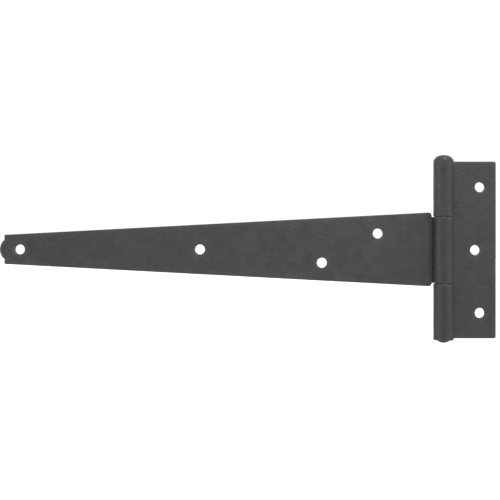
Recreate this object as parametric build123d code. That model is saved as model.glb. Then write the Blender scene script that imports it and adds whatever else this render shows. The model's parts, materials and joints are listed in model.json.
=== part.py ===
from build123d import *
import os

# T hinge for a gate or shed door: a long tapered strap and an upright post plate, both cut from
# sheet steel, with knuckles rolled round one riveted pin.
#
# Millimetres. +Z runs up the pin and +X from the strap's nose towards the post plate. The backs
# of both leaves lie in the plane Y = 0 and the knuckles stand out towards -Y. The origin is
# midway between the post plate's two outer screw holes. Distances named *_REACH are measured
# from the pin's axis.

# Sheet, pin bore and barrel
SHEET = 2.5
PIN_R = 3.15
RUNNING_GAP = 0.08              # between the pin and a knuckle, on the radius
BORE_R = PIN_R + RUNNING_GAP
BARREL_R = BORE_R + SHEET
LAP_ANGLE = 31.0                # degrees that a roll runs on past three quarters of a turn
SCREW_HOLE_R = 2.875            # clears a No. 12 wood screw

# Post plate
PLATE_HEIGHT = 101.6
PLATE_REACH = 30.8
PLATE_CORNER_R = 1.2
PLATE_OUTER_HOLE_REACH = 21.7
PLATE_OUTER_HOLE_SPACING = 72.3
PLATE_MIDDLE_HOLE_REACH = 19.0

# Strap
STRAP_REACH = 254.0             # pin axis to the tip of the nose
STRAP_SHOULDER_REACH = 6.0      # pin axis to the square end of the taper
STRAP_RISE = 0.35               # the taper's centre line above the middle of the knuckle
STRAP_ROOT_WIDTH = 42.6
STRAP_SHOULDER_R = 1.9
NOSE_LENGTH = 2.6               # small lug on the end of the taper
NOSE_STRAIGHT = 0.65            # part of its length before it rounds over
NOSE_WIDTH = 10.2
STRAP_TIP_WIDTH = 16.8
STRAP_TIP_HOLE_REACH = 242.6    # this hole and the next lie on the taper's centre line
STRAP_CENTRE_HOLE_REACH = 139.1
STRAP_LOWER_HOLE = (69.0, -7.65)  # reach of the staggered pair, and height off that line
STRAP_UPPER_HOLE = (36.9, 9.15)

# Knuckles
STRAP_KNUCKLE = 37.8            # length along the pin
KNUCKLE_GAP = 0.25              # between the end faces of two neighbouring knuckles
KNUCKLE_OVERHANG = 0.5          # of the plate's knuckles past its upper and lower edges
NOTCH_GAP = 0.3                 # between the strap's knuckle and the edge of the plate's notch
INNER_CORNER_R = 0.4            # left by the blanking punch in every inside corner
BLANK_CORNER_R = 0.4            # and on the small outside corners
STEP_CORNER_R = 0.5             # where the plate's edge slopes up to a knuckle at 45 degrees

# Rivet pin
HEAD_R = 5.3
HEAD_RIM = 0.3                  # straight edge under the dome
HEAD_HEIGHT = 2.75
HEAD_DOME_R = 4.7
HEAD_FLAT_R = 1.3
TAIL_R = 3.5                    # the end spread by the hammer
TAIL_HEIGHT = 1.5
TAIL_DOME_R = 3.2
TAIL_FLAT_R = 1.3

TO_ORIGIN = Pos(-PLATE_OUTER_HOLE_REACH, 0, 0)
PIN_Y = -BARREL_R


def punch(leaf, holes):
    """Punch round screw holes straight through a leaf, each given as (x, z)."""
    punch_length = 4 * SHEET    # centred on the leaf's back, so it passes both faces
    for x, z in holes:
        leaf -= Plane.XZ * Pos(x, z) * Cylinder(SCREW_HOLE_R, punch_length)
    return leaf


def rolled_knuckle(side, bottom, top):
    """Sheet rolled once round the pin, for a leaf that runs to -X (side -1) or +X (side 1).

    The roll leaves the flat at the back of the barrel, passes over the front and stops just
    short of the leaf's front face.
    """
    wrap = side * (270 + LAP_ANGLE)
    with BuildSketch(Plane.XY.offset(bottom)) as section:
        with BuildLine():
            outer = CenterArc((0, PIN_Y), BARREL_R, 90, wrap)
            inner = CenterArc((0, PIN_Y), BORE_R, 90, wrap)
            Line(outer @ 0, inner @ 0)
            Line(outer @ 1, inner @ 1)
        make_face()
    return extrude(section.sketch, amount=top - bottom)


def strap_leaf():
    """Tapered strap with one knuckle rolled at its wide end."""
    flank_radii = [INNER_CORNER_R, STRAP_SHOULDER_R, BLANK_CORNER_R, INNER_CORNER_R]

    def flank(side):
        """The upper (side 1) or lower (side -1) edge, from the knuckle to where the nose rounds."""
        return FilletPolyline(
            (0, side * STRAP_KNUCKLE / 2),
            (-STRAP_SHOULDER_REACH, side * STRAP_KNUCKLE / 2),
            (-STRAP_SHOULDER_REACH, STRAP_RISE + side * STRAP_ROOT_WIDTH / 2),
            (NOSE_LENGTH - STRAP_REACH, STRAP_RISE + side * STRAP_TIP_WIDTH / 2),
            (NOSE_LENGTH - STRAP_REACH, STRAP_RISE + side * NOSE_WIDTH / 2),
            (NOSE_LENGTH - NOSE_STRAIGHT - STRAP_REACH, STRAP_RISE + side * NOSE_WIDTH / 2),
            radius=flank_radii,
        )

    with BuildSketch(Plane.XZ) as blank:
        with BuildLine():
            upper = flank(1)
            lower = flank(-1)
            ThreePointArc(upper @ 1, (-STRAP_REACH, STRAP_RISE), lower @ 1)
            Line(upper @ 0, lower @ 0)
        make_face()
    leaf = extrude(blank.sketch, amount=SHEET)
    leaf += rolled_knuckle(-1, -STRAP_KNUCKLE / 2, STRAP_KNUCKLE / 2)
    holes = [
        (-STRAP_TIP_HOLE_REACH, STRAP_RISE),
        (-STRAP_CENTRE_HOLE_REACH, STRAP_RISE),
        (-STRAP_LOWER_HOLE[0], STRAP_RISE + STRAP_LOWER_HOLE[1]),
        (-STRAP_UPPER_HOLE[0], STRAP_RISE + STRAP_UPPER_HOLE[1]),
    ]
    return punch(leaf, holes)


def post_plate():
    """Upright plate with a knuckle rolled above and below the notch for the strap's knuckle."""
    top = PLATE_HEIGHT / 2
    knuckle_top = top + KNUCKLE_OVERHANG
    notch_top = STRAP_KNUCKLE / 2 + KNUCKLE_GAP
    notch_x = BARREL_R + NOTCH_GAP
    upper = [
        ((notch_x, notch_top), INNER_CORNER_R),
        ((0, notch_top), 0),
        ((0, knuckle_top), 0),
        ((notch_x, knuckle_top), STEP_CORNER_R),
        ((notch_x + KNUCKLE_OVERHANG, top), STEP_CORNER_R),
        ((PLATE_REACH, top), PLATE_CORNER_R),
    ]
    lower = [((x, -z), radius) for (x, z), radius in reversed(upper)]
    corners = [corner for corner, radius in upper + lower]
    radii = [radius for corner, radius in upper + lower]
    with BuildSketch(Plane.XZ) as blank:
        with BuildLine():
            FilletPolyline(*corners, radius=radii, close=True)
        make_face()
    plate = extrude(blank.sketch, amount=SHEET)
    plate += rolled_knuckle(1, notch_top, knuckle_top)
    plate += rolled_knuckle(1, -knuckle_top, -notch_top)
    holes = [
        (PLATE_OUTER_HOLE_REACH, PLATE_OUTER_HOLE_SPACING / 2),
        (PLATE_OUTER_HOLE_REACH, -PLATE_OUTER_HOLE_SPACING / 2),
        (PLATE_MIDDLE_HOLE_REACH, 0),
    ]
    return punch(plate, holes)


def hinge_pin():
    """Rivet with a domed head above the top knuckle and a hammered tail below the bottom one."""
    end = PLATE_HEIGHT / 2 + KNUCKLE_OVERHANG
    with BuildSketch(Plane.XZ) as half_section:
        with BuildLine():
            dome = RadiusArc((HEAD_R, end + HEAD_RIM), (HEAD_FLAT_R, end + HEAD_HEIGHT), -HEAD_DOME_R)
            tail = RadiusArc((TAIL_R, -end), (TAIL_FLAT_R, -end - TAIL_HEIGHT), TAIL_DOME_R)
            Polyline(dome @ 0, (HEAD_R, end), (PIN_R, end), (PIN_R, -end), tail @ 0)
            Polyline(dome @ 1, (0, end + HEAD_HEIGHT), (0, -end - TAIL_HEIGHT), tail @ 1)
        make_face()
    return Pos(0, PIN_Y, 0) * revolve(half_section.sketch, Axis.Z)


os.makedirs("parts", exist_ok=True)
for build in (strap_leaf, post_plate, hinge_pin):
    export_step(TO_ORIGIN * build(), f"parts/{build.__name__}.step")
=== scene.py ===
import json
import math

import bmesh
import bpy
import numpy as np
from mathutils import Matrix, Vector
from mathutils.geometry import delaunay_2d_cdt


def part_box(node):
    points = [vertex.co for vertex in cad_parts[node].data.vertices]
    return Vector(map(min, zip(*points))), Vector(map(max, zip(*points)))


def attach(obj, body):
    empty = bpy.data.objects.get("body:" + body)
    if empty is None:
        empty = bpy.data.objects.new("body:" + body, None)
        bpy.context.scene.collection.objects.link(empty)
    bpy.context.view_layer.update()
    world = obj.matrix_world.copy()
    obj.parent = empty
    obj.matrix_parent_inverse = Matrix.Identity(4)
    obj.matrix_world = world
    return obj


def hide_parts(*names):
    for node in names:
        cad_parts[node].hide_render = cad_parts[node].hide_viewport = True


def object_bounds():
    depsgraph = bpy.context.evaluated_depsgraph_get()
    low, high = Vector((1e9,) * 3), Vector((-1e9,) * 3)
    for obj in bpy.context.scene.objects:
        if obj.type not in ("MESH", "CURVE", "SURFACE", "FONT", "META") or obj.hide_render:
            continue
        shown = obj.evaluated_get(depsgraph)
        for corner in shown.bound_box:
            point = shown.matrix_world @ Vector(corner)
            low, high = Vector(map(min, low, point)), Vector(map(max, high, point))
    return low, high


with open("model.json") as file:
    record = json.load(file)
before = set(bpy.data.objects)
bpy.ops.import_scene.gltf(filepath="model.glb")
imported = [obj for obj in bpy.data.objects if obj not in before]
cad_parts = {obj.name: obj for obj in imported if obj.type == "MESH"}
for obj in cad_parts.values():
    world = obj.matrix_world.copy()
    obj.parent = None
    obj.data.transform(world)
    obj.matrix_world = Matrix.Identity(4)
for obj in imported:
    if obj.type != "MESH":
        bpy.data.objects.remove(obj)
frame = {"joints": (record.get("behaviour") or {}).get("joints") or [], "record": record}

# A tee hinge: strap, post plate and rivet pin. The two leaves are made as they are in a press
# shop: a flat blank is cut and punched, its edges are eased, and its tabs are rolled into
# knuckles. Lengths are millimetres in the frame's axes until a mesh is written, and metres in
# the studio.

MM = 0.001
cad_low, cad_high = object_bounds()
mounts = {mount["name"]: mount for mount in frame["record"]["mounts"]}


# ---------------------------------------------------------------- sizes read from the frame

def node_box(node):
    """A node's lowest and highest corners, in millimetres."""
    low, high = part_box(node)
    return low / MM, high / MM


def mount_point(name):
    """A mount's place on the leaves, as (x, z) in millimetres."""
    x, y, z = mounts[name]["pos_m"]
    return Vector((x, z)) / MM


PIN_X, PIN_Y = [v / MM for v in frame["joints"][0]["pos_m"][:2]]
BARREL_R = -PIN_Y                                   # the leaves' backs lie in Y = 0
SHEET = mounts["plate_middle_screw"]["dims"]["length_mm"]
HOLE_R = mounts["plate_middle_screw"]["dims"]["r_mm"]
BORE_R = BARREL_R - SHEET
strap_low = node_box("strap_leaf")[0]
plate_high = node_box("post_plate")[1]
pin_low, pin_high = node_box("hinge_pin")

# ---------------------------------------------------------------- sizes of the blanks

LAP_ANGLE = 31.0            # degrees that a roll runs on past three quarters of a turn
ROLL_ANGLE = math.radians(270 + LAP_ANGLE)
ROLL_R = (BARREL_R + BORE_R) / 2
ROLL_LENGTH = ROLL_R * ROLL_ANGLE

STRAP_SHOULDER = 6.0        # pin axis to the square end of the taper
STRAP_ROOT_WIDTH = 42.6
STRAP_TIP_WIDTH = 16.8
STRAP_SHOULDER_R = 1.9
STRAP_KNUCKLE = 37.8        # length along the pin
STAGGER = (32.1, 16.8)      # along and across the strap, between the holes at its wide end
NOSE_LENGTH = 2.6           # small lug on the end of the taper
NOSE_STRAIGHT = 0.65        # part of its length before it rounds over
NOSE_WIDTH = 10.2
NOSE_R = 7.0
SETTLE_ROUNDS = 20          # in working out where the nose's arc has to lie to touch the tip
KNUCKLE_GAP = 0.25          # between the end faces of two neighbouring knuckles
KNUCKLE_OVERHANG = 0.5      # of the plate's knuckles past its upper and lower edges
NOTCH_GAP = 0.3             # between the strap's knuckle and the edge of the plate's notch
PLATE_CORNER_R = 1.2
STEP_CORNER_R = 0.5
INNER_CORNER_R = 0.45
SMALL_CORNER_R = 0.45

EDGE_R = 0.32               # sheared edges, eased by tumbling and the coating
PUNCH_LIP_R = 0.5           # where the punch enters a hole
PUNCH_EXIT_R = 0.16
DISH_DEPTH = 0.09           # the punch also draws the face in round each hole
DISH_REACH = 1.1
WEAR_REACH = 0.8            # how far thin coating runs in from an edge

# A painted dark reflection: a dark line painted into the coating's colour along each barrel's
# front.
REFLECTION_LINE_TURN = math.radians(10)       # of the painted dark reflection line, from the barrel's front towards the strap
REFLECTION_LINE_WIDTH = math.radians(15)

# ---------------------------------------------------------------- spacing of the mesh points

FLAT_STEP = 4.0             # on the flats
ROLL_STEP = 0.27            # round the rolls, about 3.5 degrees
ROLL_ROW_STEP = 2.4         # along the pin, in the rolls
CORNER_STEP = math.radians(12)
HOLE_SEGMENTS = 40
EDGE_SEGMENTS = 4
HOLE_RINGS = (0.35, 0.8, 1.4, 2.2)  # rings of points round a hole, out from its lip
RING_CLEARANCE = 0.45       # of other points from these rings
RIM_CLEARANCE = 0.75        # of all points from the blank's outline and the holes
SAME = 1e-6                 # lengths below this count as nothing


# ---------------------------------------------------------------- drawing a blank

def corner_arc(before, corner, after):
    """Points and outward normals round one (s, z, radius) corner, given its two neighbours."""
    here = Vector(corner[:2])
    radius = corner[2]
    way_in = (here - Vector(before[:2])).normalized()
    way_out = (Vector(after[:2]) - here).normalized()
    turn = math.atan2(way_in.cross(way_out), way_in.dot(way_out))
    reach = radius * math.tan(abs(turn) / 2)
    start = here - way_in * reach
    side = math.copysign(1, turn)
    centre = start + Vector((-way_in.y, way_in.x)) * radius * side
    steps = max(1, math.ceil(abs(turn) / CORNER_STEP)) if radius else 0
    heading = math.atan2(way_in.y, way_in.x)
    found = []
    for k in range(steps + 1):
        angle = heading + (turn * k / steps if steps else turn / 2)
        out = Vector((math.sin(angle), -math.cos(angle)))
        found.append((centre + out * radius * side, out))
    return found


def outline_points(corners):
    """Sample a closed anticlockwise outline of (s, z, radius) corners.

    Returns the points and their outward normals. The s axis runs along the sheet: negative on
    the flat leaf and positive in the part that gets rolled.
    """
    neighbours = zip(corners[-1:] + corners[:-1], corners, corners[1:] + corners[:1])
    arcs = [corner_arc(*three) for three in neighbours]
    points, normals = [], []
    for arc, next_arc in zip(arcs, arcs[1:] + arcs[:1]):
        points += [point for point, normal in arc]
        normals += [normal for point, normal in arc]
        start, end = arc[-1][0], next_arc[0][0]
        way = end - start
        goes_round = max(start.x, end.x) > SAME and abs(way.x) > SAME
        pieces = max(1, math.ceil(way.length / (ROLL_STEP if goes_round else FLAT_STEP)))
        out = Vector((way.y, -way.x)).normalized()
        for k in range(1, pieces):
            points.append(start + way * k / pieces)
            normals.append(out)
    return np.array(points), np.array(normals)


def hole_points(centre):
    """Sample a hole's rim. Its normals point out of the metal, towards the hole's axis."""
    angles = -np.arange(HOLE_SEGMENTS) * 2 * math.pi / HOLE_SEGMENTS
    ways = np.c_[np.cos(angles), np.sin(angles)]
    return np.array(centre) + ways * HOLE_R, -ways


def edge_rows(points, normals, back_r, front_r):
    """Rows of (s, z, depth) across the sheet's edge, from the back face round to the front."""
    rows = []
    for k in range(EDGE_SEGMENTS + 1):
        angle = math.pi / 2 * k / EDGE_SEGMENTS
        rows.append((back_r * (1 - math.sin(angle)), back_r * (1 - math.cos(angle))))
    for k in range(EDGE_SEGMENTS + 1):
        angle = math.pi / 2 * (1 - k / EDGE_SEGMENTS)
        rows.append((front_r * (1 - math.sin(angle)), SHEET - front_r * (1 - math.cos(angle))))
    return [np.c_[points - normals * inset, np.full(len(points), depth)] for inset, depth in rows]


def inside(points, outline):
    """Which points lie inside a closed outline, by counting crossings."""
    x, z = points.T
    result = np.zeros(len(points), bool)
    ends = np.roll(outline, -1, axis=0)
    for (ax, az), (bx, bz) in zip(outline, ends):
        if az != bz:
            crossing = (az > z) != (bz > z)
            result ^= crossing & (x < (bx - ax) * (z - az) / (bz - az) + ax)
    return result


def rim_distance(points, loops):
    """Distance from each point to the nearest edge of any closed loop."""
    nearest = np.full(len(points), np.inf)
    for loop in loops:
        for start, end in zip(loop, np.roll(loop, -1, axis=0)):
            way = end - start
            along = np.clip((points - start) @ way / (way @ way), 0, 1)
            gaps = np.linalg.norm(points - start - along[:, None] * way, axis=1)
            nearest = np.minimum(nearest, gaps)
    return nearest


def inner_points(loops, holes):
    """Mesh points inside a blank: a grid on the flat, closer rows in the rolls, rings at holes.

    loops are the points of the blank's outline and of its holes' rims.
    """
    outline = loops[0]
    low, high = outline.min(0), outline.max(0)
    found = []
    columns = np.arange(-math.ceil(-low[0] / FLAT_STEP), 0) * FLAT_STEP
    rows = np.arange(math.floor(low[1] / FLAT_STEP), math.ceil(high[1] / FLAT_STEP) + 1)
    for i, s in enumerate(columns):
        stagger = 0.5 * (i % 2)
        found += [(s, (row + stagger) * FLAT_STEP) for row in rows]
    roll_columns = math.ceil(ROLL_LENGTH / ROLL_STEP)
    for k in range(roll_columns):
        for z in np.arange(low[1] + ROLL_ROW_STEP / 2, high[1], ROLL_ROW_STEP):
            found.append((k * ROLL_LENGTH / roll_columns, z))
    found = np.array(found)
    for centre in holes:
        for ring, gap in enumerate(HOLE_RINGS):
            stagger = 0.5 * (ring % 2)
            angles = (np.arange(HOLE_SEGMENTS) + stagger) * 2 * math.pi / HOLE_SEGMENTS
            ring_r = HOLE_R + PUNCH_LIP_R + gap
            offsets = np.linalg.norm(found - np.array(centre), axis=1)
            found = found[offsets > ring_r + RING_CLEARANCE]
            ways = np.c_[np.cos(angles), np.sin(angles)]
            found = np.r_[found, np.array(centre) + ways * ring_r]
    found = found[inside(found, outline)]
    return found[rim_distance(found, loops) > RIM_CLEARANCE]


# ---------------------------------------------------------------- forming a leaf from its blank

def band_faces(starts, size):
    """Four-sided faces between closed rows of size points, which begin at the given starts."""
    faces = []
    for lower, upper in zip(starts[:-1], starts[1:]):
        for k in range(size):
            after = (k + 1) % size
            faces.append((lower + k, lower + after, upper + after, upper + k))
    return faces


def sheet_triangles(rings, spare):
    """Triangles over one face of the sheet, from its outer ring to the holes' rings.

    Each is three places in the list of all the rings' points followed by the spare ones.
    """
    borders, first = [], 0
    for ring in rings:
        borders += [(first + k, first + (k + 1) % len(ring)) for k in range(len(ring))]
        first += len(ring)
    points = [Vector(point) for point in np.concatenate(rings + [spare])]
    within_borders = 1
    made = delaunay_2d_cdt(points, borders, [], within_borders, SAME)
    origin = [places[0] for places in made[3]]
    ring_of = np.repeat(range(len(rings) + 1), [len(ring) for ring in rings] + [len(spare)])
    triangles = []
    for triangle in made[2]:
        places = [origin[vertex] for vertex in triangle]
        rings_met = {ring_of[place] for place in places}
        in_a_hole = len(rings_met) == 1 and 1 <= min(rings_met) < len(rings)
        if not in_a_hole:
            triangles.append(places)
    return triangles


def roll(flat, side):
    """Bend a flat blank's points (s, z, depth) round the pin. side is -1 or 1, the leaf's way."""
    s, z, depth = flat.T
    angle = np.clip(s, 0, None) / ROLL_R
    radius = BARREL_R - depth
    x = np.where(s > 0, radius * np.sin(angle), s)
    y = np.where(s > 0, PIN_Y + radius * np.cos(angle), -depth)
    return np.c_[PIN_X - side * x, y, z]


def dish(flat, holes):
    """Draw the faces in round each hole, most on the side that the punch enters."""
    moved = flat.copy()
    for centre in holes:
        gap = np.linalg.norm(flat[:, :2] - np.array(centre), axis=1) - HOLE_R
        moved[:, 2] -= DISH_DEPTH * np.exp(-(gap / DISH_REACH) ** 2) * flat[:, 2] / SHEET
    return moved


def painted_reflection_line(flat, side):
    """How far each point is in the painted dark reflection line along the barrel's front, 0 to 1.
    """
    off_line = flat[:, 0] / ROLL_R - math.pi + side * REFLECTION_LINE_TURN
    outer = flat[:, 2] < EDGE_R
    return np.where(outer, np.exp(-(off_line / REFLECTION_LINE_WIDTH) ** 2), 0)


def formed_leaf(name, corners, holes, side):
    """A leaf cut, punched, eased and rolled, as one closed mesh with attributes for its edges and
    for a painted dark reflection line along its barrel.
    """
    loops = [outline_points(corners)] + [hole_points(centre) for centre in holes]
    rims = [(EDGE_R, EDGE_R)] + [(PUNCH_EXIT_R, PUNCH_LIP_R)] * len(holes)
    rows = [edge_rows(*loop, *rim) for loop, rim in zip(loops, rims)]
    spare = inner_points([points for points, normals in loops], holes)

    vertices, faces, worn, starts = [], [], [], []
    total = 0
    for loop_rows in rows:
        size = len(loop_rows[0])
        loop_starts = [total + size * k for k in range(len(loop_rows))]
        vertices += loop_rows
        faces += band_faces(loop_starts, size)
        worn += [np.ones(size)] * len(loop_rows)
        starts.append(loop_starts)
        total += size * len(loop_rows)
    for row, depth in ((0, 0.0), (-1, SHEET)):
        rings = [loop_rows[row][:, :2] for loop_rows in rows]
        owners = []
        for ring, loop_starts in zip(rings, starts):
            owners += range(loop_starts[row], loop_starts[row] + len(ring))
        owners += range(total, total + len(spare))
        for places in sheet_triangles(rings, spare):
            faces.append(tuple(owners[place] for place in places))
        vertices.append(np.c_[spare, np.full(len(spare), depth)])
        worn.append(np.exp(-rim_distance(spare, rings) / WEAR_REACH))
        total += len(spare)

    flat = dish(np.concatenate(vertices), holes)
    mesh = bpy.data.meshes.new(name)
    mesh.from_pydata((roll(flat, side) * MM).tolist(), [], faces)
    # edge marks the thin coating near the edges; the second attribute marks the painted dark
    # reflection line along the barrel's front
    for label, values in (("edge", np.concatenate(worn)), ("painted_reflection", painted_reflection_line(flat, side))):
        attribute = mesh.attributes.new(label, "FLOAT", "POINT")
        attribute.data.foreach_set("value", values.astype(np.float32))
    return finished(name, mesh)


def finished(name, mesh):
    """Link a mesh as a smooth object with its face normals outward and weighted by area."""
    shell = bmesh.new()
    shell.from_mesh(mesh)
    bmesh.ops.recalc_face_normals(shell, faces=shell.faces)
    shell.to_mesh(mesh)
    shell.free()
    mesh.shade_smooth()
    piece = bpy.data.objects.new(name, mesh)
    bpy.context.scene.collection.objects.link(piece)
    weighting = piece.modifiers.new("weighted normals", "WEIGHTED_NORMAL")
    weighting.mode = "FACE_AREA"
    weighting.weight = 50
    return piece


# ---------------------------------------------------------------- the two leaves

def strap():
    """Tapered strap with one knuckle at its wide end."""
    outer, root = mount_point("strap_outer_screws"), mount_point("strap_root_screws")
    tip_x = strap_low.x - PIN_X
    shoulder_x = tip_x + NOSE_LENGTH
    lug_x = shoulder_x - NOSE_STRAIGHT
    rise = outer.y                      # of the taper's centre line above the knuckle's middle
    apex_x = tip_x                      # settles to where the nose's sides meet, beyond its arc
    for _ in range(SETTLE_ROUNDS):
        lug_angle = math.atan2(NOSE_WIDTH / 2, lug_x - apex_x)
        apex_x = tip_x - NOSE_R * (1 / math.sin(lug_angle) - 1)

    def flank(side):
        """The lower (side -1) or upper (side 1) edge, from the nose to the end of the roll."""
        return [
            (lug_x, rise + side * NOSE_WIDTH / 2, SMALL_CORNER_R),
            (shoulder_x, rise + side * NOSE_WIDTH / 2, INNER_CORNER_R),
            (shoulder_x, rise + side * STRAP_TIP_WIDTH / 2, SMALL_CORNER_R),
            (-STRAP_SHOULDER, rise + side * STRAP_ROOT_WIDTH / 2, STRAP_SHOULDER_R),
            (-STRAP_SHOULDER, side * STRAP_KNUCKLE / 2, INNER_CORNER_R),
            (0, side * STRAP_KNUCKLE / 2, 0),
            (ROLL_LENGTH, side * STRAP_KNUCKLE / 2, SMALL_CORNER_R),
        ]

    corners = [(apex_x, rise, NOSE_R)] + flank(-1) + flank(1)[::-1]
    stagger_angle = math.atan2(STAGGER[1], STAGGER[0])
    pair = Vector((math.cos(stagger_angle), math.sin(stagger_angle)))
    pair *= mounts["strap_root_screws"]["dims"]["pcd_mm"] / 2
    along = Vector((mounts["strap_outer_screws"]["dims"]["spacing_x_mm"] / 2, 0))
    holes = [(p.x - PIN_X, p.y) for p in (outer - along, outer + along, root - pair, root + pair)]
    return formed_leaf("strap", corners, holes, -1)


def plate():
    """Upright plate with a knuckle above and below the notch for the strap's knuckle."""
    knuckle_top = plate_high.z
    top = knuckle_top - KNUCKLE_OVERHANG
    reach = plate_high.x - PIN_X
    notch_z = STRAP_KNUCKLE / 2 + KNUCKLE_GAP
    notch_x = BARREL_R + NOTCH_GAP
    lower = [
        (-reach, -top, PLATE_CORNER_R),
        (-notch_x - KNUCKLE_OVERHANG, -top, STEP_CORNER_R),
        (-notch_x, -knuckle_top, STEP_CORNER_R),
        (0, -knuckle_top, 0),
        (ROLL_LENGTH, -knuckle_top, SMALL_CORNER_R),
        (ROLL_LENGTH, -notch_z, SMALL_CORNER_R),
        (0, -notch_z, 0),
        (-notch_x, -notch_z, INNER_CORNER_R),
    ]
    upper = [(s, -z, radius) for s, z, radius in reversed(lower)]
    spacing = Vector((0, mounts["plate_outer_screws"]["dims"]["spacing_y_mm"] / 2))
    outer, middle = mount_point("plate_outer_screws"), mount_point("plate_middle_screw")
    holes = [(PIN_X - p.x, p.y) for p in (outer - spacing, outer + spacing, middle)]
    return formed_leaf("plate", lower + upper, holes, 1)


# ---------------------------------------------------------------- the rivet

HEAD_RIM = 0.3              # straight edge under the dome
HEAD_DOME_R = 4.7
HEAD_FLAT_R = 1.3
HEAD_ARC_STEPS = 14
TAIL_R = 3.5                # the end spread by the hammer
TAIL_DOME_R = 3.2
TAIL_FLAT_R = 1.3
TAIL_ARC_STEPS = 10
PIN_GAP = 0.08              # between the pin and a knuckle, on the radius
RIVET_EASE = 0.15           # on the rivet's corners
POLE_R = 0.6                # flat middle of the head and the tail
POLE_RISE = 0.02            # of that flat above the end of the arc
SHANK_ROWS = 20
SHANK_MARGIN = 2.0          # from the head and the tail to the nearest of these rows
LATHE_SEGMENTS = 72


def bulging_arc(start, end, radius, steps):
    """Points from start to end along an arc that bulges away from the pin's axis."""
    start, end = Vector(start), Vector(end)
    chord = end - start
    height = math.sqrt(radius ** 2 - (chord.length / 2) ** 2)
    side = Vector((-chord.y, chord.x)).normalized()
    centre = (start + end) / 2 - side * height * math.copysign(1, side.x)
    a = math.atan2(start.y - centre.y, start.x - centre.x)
    b = math.atan2(end.y - centre.y, end.x - centre.x)
    angles = [a + (b - a) * k / steps for k in range(steps + 1)]
    return [(centre.x + radius * math.cos(t), centre.y + radius * math.sin(t)) for t in angles]


def rivet():
    """Pin with a domed head above and a hammered tail below."""
    seat = plate_high.z
    head_r = (pin_high.x - pin_low.x) / 2
    shank_r = BORE_R - PIN_GAP
    ease = RIVET_EASE
    head_end = (HEAD_FLAT_R, pin_high.z - POLE_RISE)
    tail_end = (TAIL_FLAT_R, pin_low.z + POLE_RISE)
    profile = [(POLE_R, pin_high.z)]
    profile += bulging_arc(head_end, (head_r, seat + HEAD_RIM), HEAD_DOME_R, HEAD_ARC_STEPS)
    profile += [(head_r, seat + ease), (head_r - ease, seat)]
    profile += [(shank_r + ease, seat), (shank_r, seat - ease)]
    shank_rows = np.linspace(seat - SHANK_MARGIN, -seat + SHANK_MARGIN, SHANK_ROWS)
    profile += [(shank_r, z) for z in shank_rows]
    profile += [(shank_r, -seat + ease), (shank_r + ease, -seat), (TAIL_R - ease, -seat)]
    profile += bulging_arc((TAIL_R, -seat - ease), tail_end, TAIL_DOME_R, TAIL_ARC_STEPS)
    profile += [(POLE_R, pin_low.z)]

    shape = bmesh.new()
    rings = []
    for radius, z in profile:
        ring = []
        for k in range(LATHE_SEGMENTS):
            angle = 2 * math.pi * k / LATHE_SEGMENTS
            ring.append(shape.verts.new((radius * math.cos(angle), radius * math.sin(angle), z)))
        rings.append(ring)
    for above, below in zip(rings[:-1], rings[1:]):
        for k in range(LATHE_SEGMENTS):
            after = (k + 1) % LATHE_SEGMENTS
            shape.faces.new((above[k], above[after], below[after], below[k]))
    for ring, z in ((rings[0], pin_high.z), (rings[-1], pin_low.z)):
        pole = shape.verts.new((0, 0, z))
        for k in range(LATHE_SEGMENTS):
            shape.faces.new((ring[k], ring[(k + 1) % LATHE_SEGMENTS], pole))
    for vertex in shape.verts:
        vertex.co = (vertex.co + Vector((PIN_X, PIN_Y, 0))) * MM
    mesh = bpy.data.meshes.new("pin")
    shape.to_mesh(mesh)
    shape.free()
    return finished("pin", mesh)


# ---------------------------------------------------------------- coating

LEAF_COLOUR = (0.0294, 0.0306, 0.0329)
PIN_COLOUR = (0.0300, 0.0313, 0.0336)
COATING_IOR = 1.5
NOISE_SPAN = (0.3, 0.7)             # where nearly all of the noise nodes' values lie

# Clouds of noise: feature size in millimetres, octaves, and the lowest and highest value.
BROAD_MOTTLE = (28, 3, 0.92, 1.08)  # factors on the colour
FINE_MOTTLE = (3.5, 4, 0.90, 1.10)
EDGE_WEAR = (3, 4, 0.05, 0.5)       # added to that factor on the edges, where the coat is thin
ROUGHNESS = (5, 5, 0.42, 0.58)
PEEL = (1.3, 2, 0, 1)               # orange peel, as a part of PEEL_HEIGHT
GRAIN = (0.35, 2, 0, 1)
PEEL_HEIGHT = 0.075
GRAIN_HEIGHT = 0.02
PAINTED_REFLECTION_TONE = -0.32                  # added to the factor along the painted dark reflection line on the barrel's front


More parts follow.
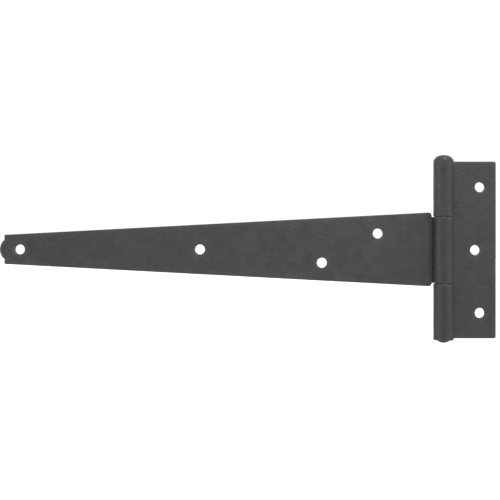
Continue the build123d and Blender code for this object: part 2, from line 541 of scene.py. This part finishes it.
def coating(name, colour):
    """Satin black coating on steel: fine orange peel, faint mottling, thinner on the edges, and a
    painted dark reflection line along the leaves' barrels.
    """
    material = bpy.data.materials.new(name)
    material.use_nodes = True
    nodes, links = material.node_tree.nodes, material.node_tree.links
    shader = nodes["Principled BSDF"]
    shader.inputs["Metallic"].default_value = 0.0
    shader.inputs["IOR"].default_value = COATING_IOR
    shader.inputs["Specular IOR Level"].default_value = 0.5
    place = nodes.new("ShaderNodeTexCoord")

    def cloud(size_mm, octaves, low, high):
        """Noise with a feature size in millimetres, stretched to run from low to high."""
        texture = nodes.new("ShaderNodeTexNoise")
        texture.inputs["Scale"].default_value = 1 / (size_mm * MM)
        texture.inputs["Detail"].default_value = octaves
        links.new(place.outputs["Object"], texture.inputs["Vector"])
        spread = nodes.new("ShaderNodeMapRange")
        spread.inputs["From Min"].default_value = NOISE_SPAN[0]
        spread.inputs["From Max"].default_value = NOISE_SPAN[1]
        spread.inputs["To Min"].default_value = low
        spread.inputs["To Max"].default_value = high
        links.new(texture.outputs["Fac"], spread.inputs["Value"])
        return spread.outputs["Result"]

    def combine(kind, a, b):
        """The sum or product of two values, each a number or another node's output."""
        node = nodes.new("ShaderNodeMath")
        node.operation = kind
        for socket, value in zip(node.inputs, (a, b)):
            if isinstance(value, (int, float)):
                socket.default_value = value
            else:
                links.new(value, socket)
        return node.outputs[0]

    def attribute(label):
        """A value that the mesh holds at each of its points."""
        node = nodes.new("ShaderNodeAttribute")
        node.attribute_name = label
        return node.outputs["Fac"]

    def bumps(shape, height_mm):
        """A bump node whose height is a cloud."""
        node = nodes.new("ShaderNodeBump")
        node.inputs["Strength"].default_value = 1.0
        node.inputs["Distance"].default_value = height_mm * MM
        links.new(cloud(*shape), node.inputs["Height"])
        return node

    mottle = combine("MULTIPLY", cloud(*BROAD_MOTTLE), cloud(*FINE_MOTTLE))
    edge_light = combine("MULTIPLY", attribute("edge"), cloud(*EDGE_WEAR))
    # painted shade: darkens the colour along the barrel's front, standing in for a dark reflection
    painted_reflection_dark = combine("MULTIPLY", attribute("painted_reflection"), PAINTED_REFLECTION_TONE)
    tone = combine("ADD", combine("ADD", mottle, edge_light), painted_reflection_dark)
    paint = nodes.new("ShaderNodeVectorMath")
    paint.operation = "SCALE"
    paint.inputs[0].default_value = colour
    links.new(tone, paint.inputs["Scale"])
    links.new(paint.outputs[0], shader.inputs["Base Color"])
    links.new(cloud(*ROUGHNESS), shader.inputs["Roughness"])

    peel, grain = bumps(PEEL, PEEL_HEIGHT), bumps(GRAIN, GRAIN_HEIGHT)
    links.new(peel.outputs["Normal"], grain.inputs["Normal"])
    links.new(grain.outputs["Normal"], shader.inputs["Normal"])
    return material


# ---------------------------------------------------------------- studio

CAMERA_DISTANCE = 0.5       # from the leaves' backs, about arm's length
CAMERA_STEP_X = 0.00125     # right of the hinge's middle
FRAME_WIDTH = 0.2870        # of the picture, at the leaves' front faces
SENSOR = 36.0               # the camera's sensor width and lens are in millimetres
BACKDROP = 1.9              # brightness straight behind the hinge, as it lights the hinge
WHITE = 1.05                # brightness of the surroundings as the camera sees them
FLOOR_GLOW = 1.0            # added to the floor for the camera only, so that it meets the white
FLOOR_HALF = 30.0
FLOOR_DROP = 0.25           # below the hinge
LIGHTS = {                  # degrees to the side and up, distance, diameter, watts
    "top light": (20, 50, 0.9, 0.54, 9.4),
    "front light": (-10, 40, 2.0, 1.2, 9.3),
    "right light": (68, 10, 2.0, 1.6, 8),
    "left light": (-69, 10, 2.0, 1.2, 11),
}


def camera():
    """Camera straight in front of the hinge and level with its middle."""
    data = bpy.data.cameras.new("camera")
    data.sensor_width = SENSOR
    data.lens = SENSOR * (CAMERA_DISTANCE - SHEET * MM) / FRAME_WIDTH
    data.clip_start = 0.01
    data.clip_end = 50
    item = bpy.data.objects.new("camera", data)
    item.location = ((cad_low.x + cad_high.x) / 2 + CAMERA_STEP_X, -CAMERA_DISTANCE, 0)
    item.rotation_euler = (math.pi / 2, 0, 0)
    bpy.context.scene.collection.objects.link(item)
    bpy.context.scene.camera = item


def area_light(name, side_deg, up_deg, distance, size, power):
    """A soft round light aimed at the hinge's middle, to one side of its front and above it."""
    data = bpy.data.lights.new(name, "AREA")
    data.shape = "DISK"
    data.size = size
    data.energy = power
    item = bpy.data.objects.new(name, data)
    middle = Vector(((cad_low.x + cad_high.x) / 2, 0, 0))
    side, up = math.radians(side_deg), math.radians(up_deg)
    way = Vector((math.sin(side) * math.cos(up), -math.cos(side) * math.cos(up), math.sin(up)))
    item.location = middle + way * distance
    item.rotation_euler = (-way).to_track_quat("-Z", "Y").to_euler()
    bpy.context.scene.collection.objects.link(item)


def camera_boost(tree, socket, seen):
    """Raise a brightness to seen for the camera. Returns the socket for what lights the object."""
    ray = tree.nodes.new("ShaderNodeLightPath")
    level = tree.nodes.new("ShaderNodeMapRange")
    level.inputs["To Min"].default_value = 0
    level.inputs["To Max"].default_value = seen
    tree.links.new(ray.outputs["Is Camera Ray"], level.inputs["Value"])
    tree.links.new(level.outputs["Result"], socket)
    return level.inputs["To Min"]


def surroundings():
    """White all round for the camera.

    The hinge is lit only by the half behind it, which is brightest straight behind.
    """
    world = bpy.data.worlds.new("studio")
    bpy.context.scene.world = world
    world.use_nodes = True
    nodes, links = world.node_tree.nodes, world.node_tree.links
    sky = nodes["Background"]
    sky.inputs["Color"].default_value = (1, 1, 1, 1)
    lit = camera_boost(world.node_tree, sky.inputs["Strength"], WHITE)
    way = nodes.new("ShaderNodeTexCoord")
    split = nodes.new("ShaderNodeSeparateXYZ")
    behind = nodes.new("ShaderNodeMapRange")
    behind.inputs["To Max"].default_value = BACKDROP
    links.new(way.outputs["Generated"], split.inputs[0])
    links.new(split.outputs["Y"], behind.inputs["Value"])
    links.new(behind.outputs["Result"], lit)


def pale_floor():
    """Plain pale floor a little below the hinge."""
    half, drop = FLOOR_HALF, cad_low.z - FLOOR_DROP
    floor_mesh = bpy.data.meshes.new("floor")
    corners = [(-half, -half, drop), (half, -half, drop), (half, half, drop), (-half, half, drop)]
    floor_mesh.from_pydata(corners, [], [(0, 1, 2, 3)])
    floor = bpy.data.objects.new("floor", floor_mesh)
    bpy.context.scene.collection.objects.link(floor)
    pale = bpy.data.materials.new("pale_floor")
    pale.use_nodes = True
    shader = pale.node_tree.nodes["Principled BSDF"]
    shader.inputs["Base Color"].default_value = (0.8, 0.8, 0.8, 1)
    shader.inputs["Roughness"].default_value = 0.9
    shader.inputs["Emission Color"].default_value = (1, 1, 1, 1)
    camera_boost(pale.node_tree, shader.inputs["Emission Strength"], FLOOR_GLOW)
    floor_mesh.materials.append(pale)


camera()
surroundings()
pale_floor()
for light, setting in LIGHTS.items():
    area_light(light, *setting)
bpy.context.scene.view_settings.view_transform = "Standard"
bpy.context.scene.view_settings.look = "None"

leaf_paint = coating("leaf_coating", LEAF_COLOUR)
pin_paint = coating("pin_coating", PIN_COLOUR)
for piece, node, body, slot, paint in (
    (strap(), "strap_leaf", "strap_leaf", "leaf_coating", leaf_paint),
    (plate(), "post_plate", "post_plate", "leaf_coating", leaf_paint),
    (rivet(), "hinge_pin", "post_plate", "pin_coating", pin_paint),
):
    piece.data.materials.append(paint)
    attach(piece, body)
    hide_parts(node)
